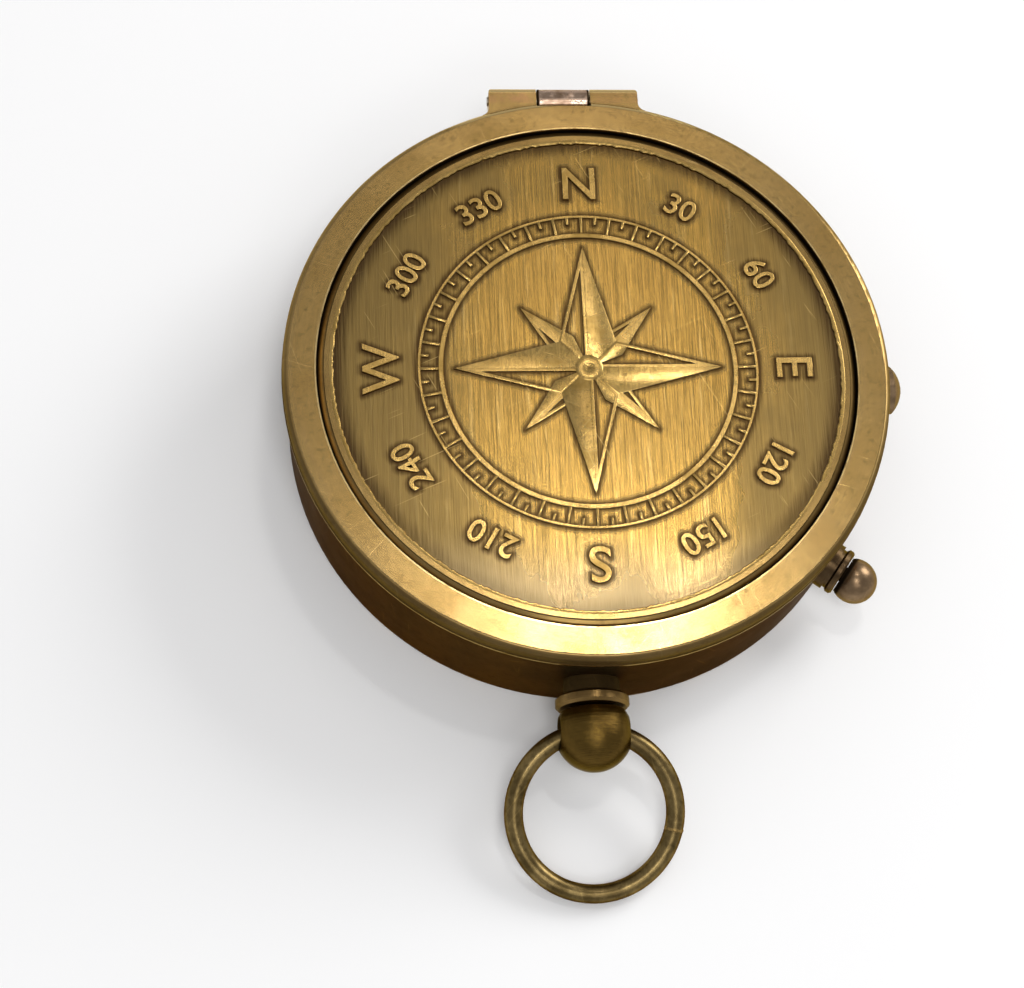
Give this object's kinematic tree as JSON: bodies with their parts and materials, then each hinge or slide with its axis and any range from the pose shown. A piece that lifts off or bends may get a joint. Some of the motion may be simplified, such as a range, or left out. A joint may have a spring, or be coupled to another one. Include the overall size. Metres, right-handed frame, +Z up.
{
  "type": "pocket compass",
  "caption": "Round brass pocket compass with a hinged lid, a bow ring on a ball pendant, a needle lock knob and a push button.",
  "frame": {"origin": "centre of the flat underside of the round case", "axes": "+Z up from the underside to the lid, +Y towards the hinge, -Y towards the pendant and bow ring, +X towards the push button"},
  "size_m": [0.0794, 0.1022, 0.019],
  "materials": {
    "case_brass": "aged satin",
    "bright_brass": "brushed, lightly aged",
    "dark_bronze": "aged, smooth",
    "steel": "satin",
    "blued_steel": "heat blued",
    "silvered_ring": "silvered satin",
    "dial_white": "cream enamel",
    "clear_glass": "polished",
    "gasket_rubber": "matte",
    "jewel_red": "polished stone"
  },
  "bodies": {
    "case": {"case_body": "case_brass", "hinge_lug": "bright_brass", "hinge_pin": "steel", "pendant_collar": "bright_brass", "pendant_ball": "bright_brass", "pendant_nut": "steel", "lock_bush": "case_brass", "button_bush": "case_brass", "button_spring": "steel", "dial_pillars": "bright_brass", "dial_plate": "dial_white", "degree_ring": "silvered_ring", "dial_screws": "steel", "pivot_post": "bright_brass", "pivot_pin": "steel", "lever_bracket": "bright_brass", "lever_pin": "steel", "bracket_screws": "steel", "glass_gasket": "gasket_rubber", "glass": "clear_glass", "split_ring": "bright_brass"},
    "lid": {"lid_ring": "bright_brass", "lid_plate": "bright_brass"},
    "bow": {"bow_ring": "bright_brass"},
    "lock": {"lock_knob": "dark_bronze", "lock_cam": "steel", "cam_pin": "steel"},
    "button": {"button_head": "dark_bronze", "push_rod": "steel", "rod_clip": "steel"},
    "lifter": {"lifter_lever": "steel"},
    "sleeve": {"lift_sleeve": "bright_brass"},
    "needle": {"needle_blade": "blued_steel", "needle_cap": "bright_brass", "needle_jewel": "jewel_red", "needle_slider": "bright_brass"}
  },
  "joints": [
    {"name": "lid_hinge", "type": "hinge", "parent": "case", "child": "lid", "pos_m": [0, 0.0384, 0.0172], "axis": [-1, 0, 0], "range_deg": [0, 180]},
    {"name": "bow_swing", "type": "hinge", "parent": "case", "child": "bow", "pos_m": [-0.0006, -0.0434, 0.0082], "axis": [-1, 0, 0], "range_deg": [-102, 137]},
    {"name": "lock_turn", "type": "hinge", "parent": "case", "child": "lock", "pos_m": [0.02265, -0.01646, 0.007], "axis": [-0.809, 0.5878, 0], "range_deg": [0, 90]},
    {"name": "button_push", "type": "slide", "parent": "case", "child": "button", "axis": [-0.999, -0.0436, 0], "range_m": [0, 0.0012], "stiffness_N_per_m": 200, "springref_m": -0.002, "deforming": ["button_spring"]},
    {"name": "lever_rock", "type": "hinge", "parent": "case", "child": "lifter", "pos_m": [0.01031, -0.0031, 0.0049], "axis": [0.2882, 0.9576, 0], "range_deg": [0, 2.93]},
    {"name": "sleeve_lift", "type": "slide", "parent": "case", "child": "sleeve", "axis": [0, 0, 1], "range_m": [0, 0.00055]},
    {"name": "needle_spin", "type": "hinge", "parent": "sleeve", "child": "needle", "pos_m": [0, 0, 0.0115], "axis": [0, 0, 1], "continuous": true}
  ],
  "couplings": [
    {"joint": "lock_turn", "follows": "sleeve_lift", "rad_per_m": 2856},
    {"joint": "lever_rock", "follows": "sleeve_lift", "rad_per_m": 92.899}
  ]
}
